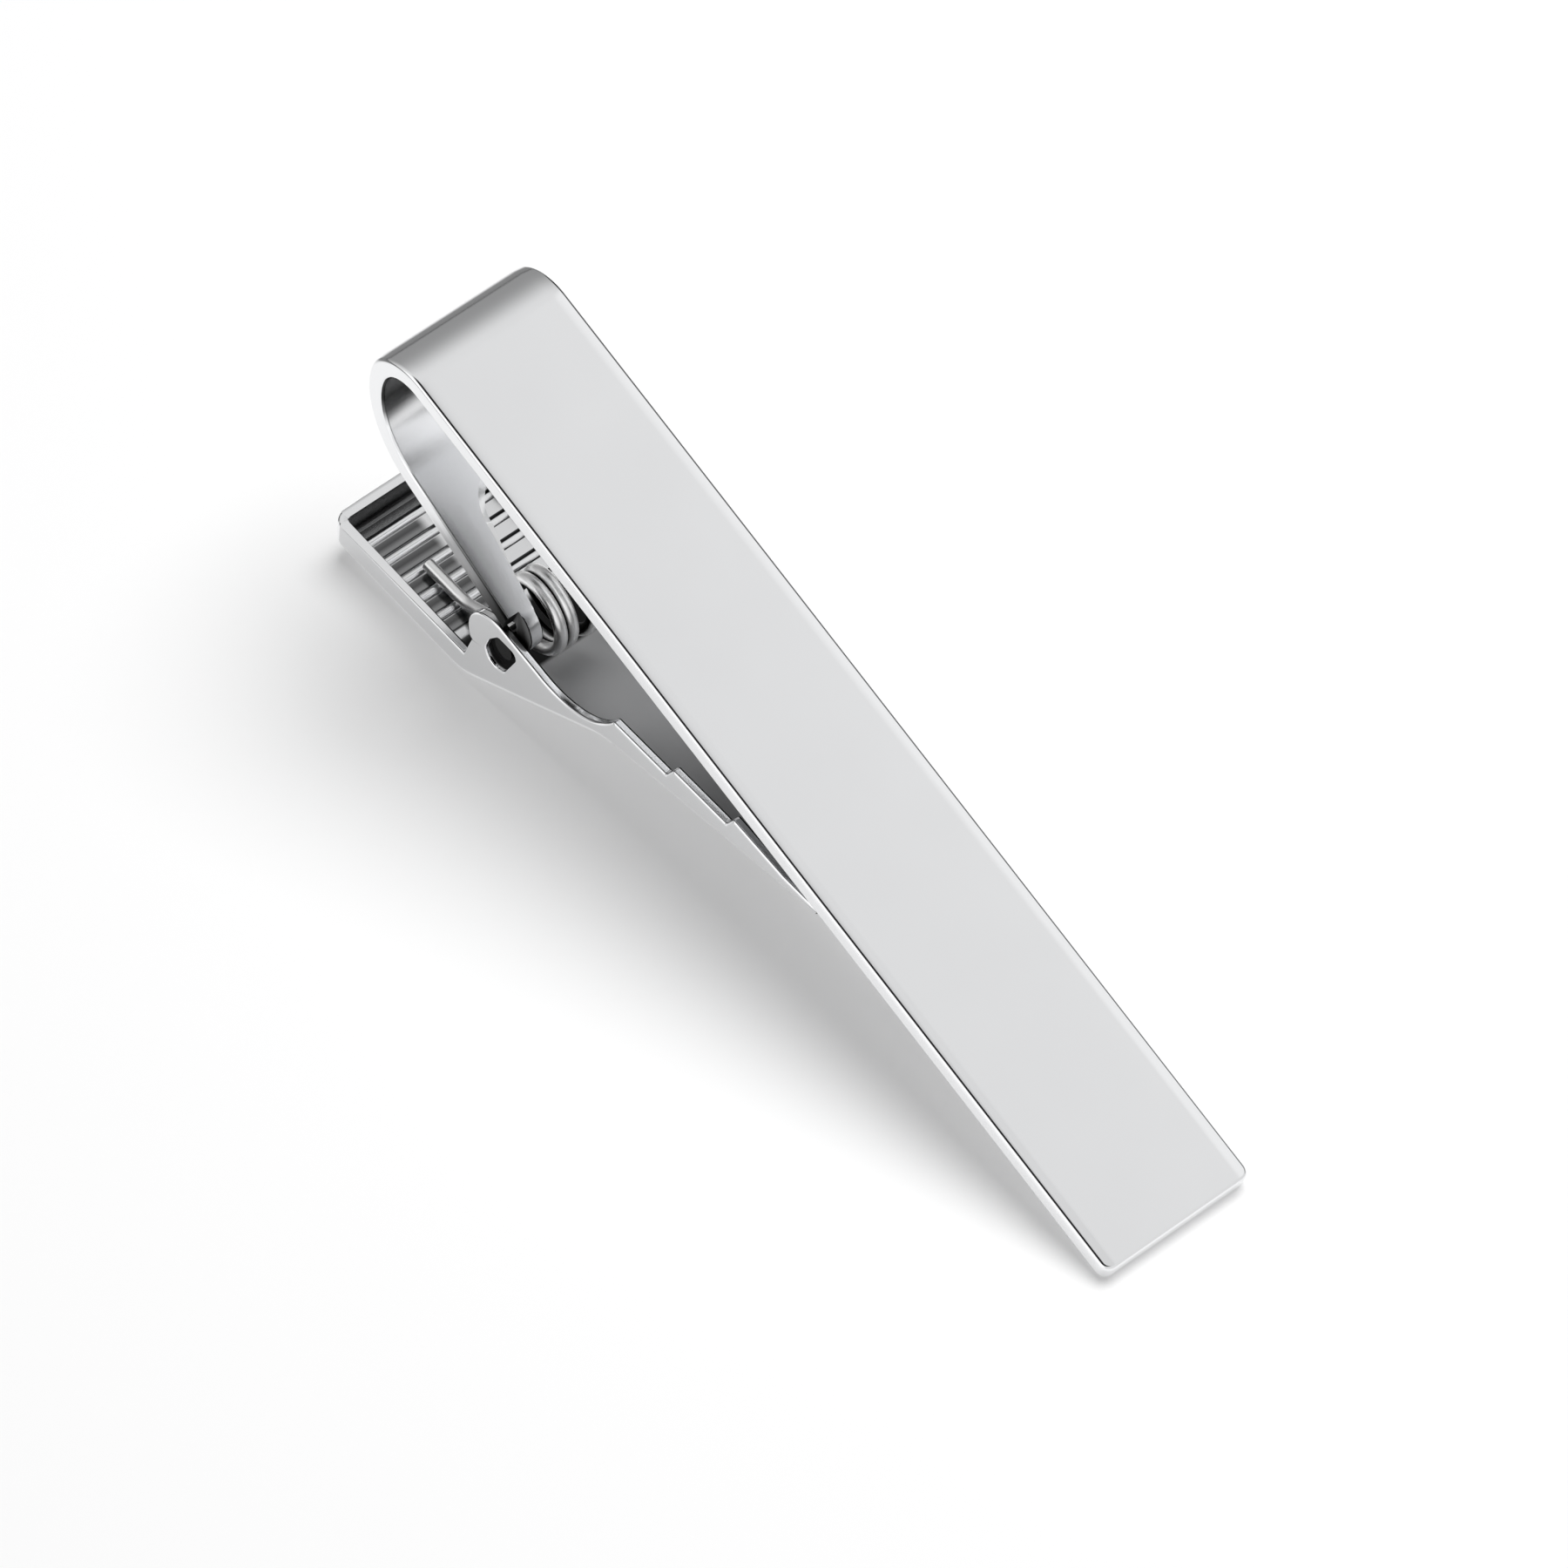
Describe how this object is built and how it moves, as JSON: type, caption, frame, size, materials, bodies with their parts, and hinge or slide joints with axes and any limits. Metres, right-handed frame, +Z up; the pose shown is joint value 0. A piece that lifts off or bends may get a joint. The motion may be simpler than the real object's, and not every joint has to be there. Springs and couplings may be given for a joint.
{
  "type": "tie clip",
  "caption": "Sprung tie clip: a flat metal bar bent back into a forked arm, with a hinged toothed jaw and thumb pad, and a torsion spring.",
  "frame": {"origin": "middle of the clip's footprint on the surface that it lies on", "axes": "+X along the clip from the thumb pad to the tip of the bar, +Y across it, +Z up; the front face slopes down towards the tip as it lies on the lever's heel and the tip"},
  "size_m": [0.0512, 0.008, 0.0178],
  "materials": {
    "polished_steel": "polished nickel-silver plate, plain and unmarked",
    "spring_wire": "bright plated spring wire"
  },
  "bodies": {
    "bar": {"front_bar": "polished_steel", "torsion_spring": "spring_wire"},
    "lever": {"clip_lever": "polished_steel"}
  },
  "joints": [
    {"name": "lever_hinge", "type": "hinge", "parent": "bar", "child": "lever", "pos_m": [-0.01398, 0, 0.00442], "axis": [0, 1, 0], "range_deg": [0, 45], "stiffness_Nm_per_rad": 0.002, "springref_deg": -40.11, "deforming": ["torsion_spring"]}
  ]
}
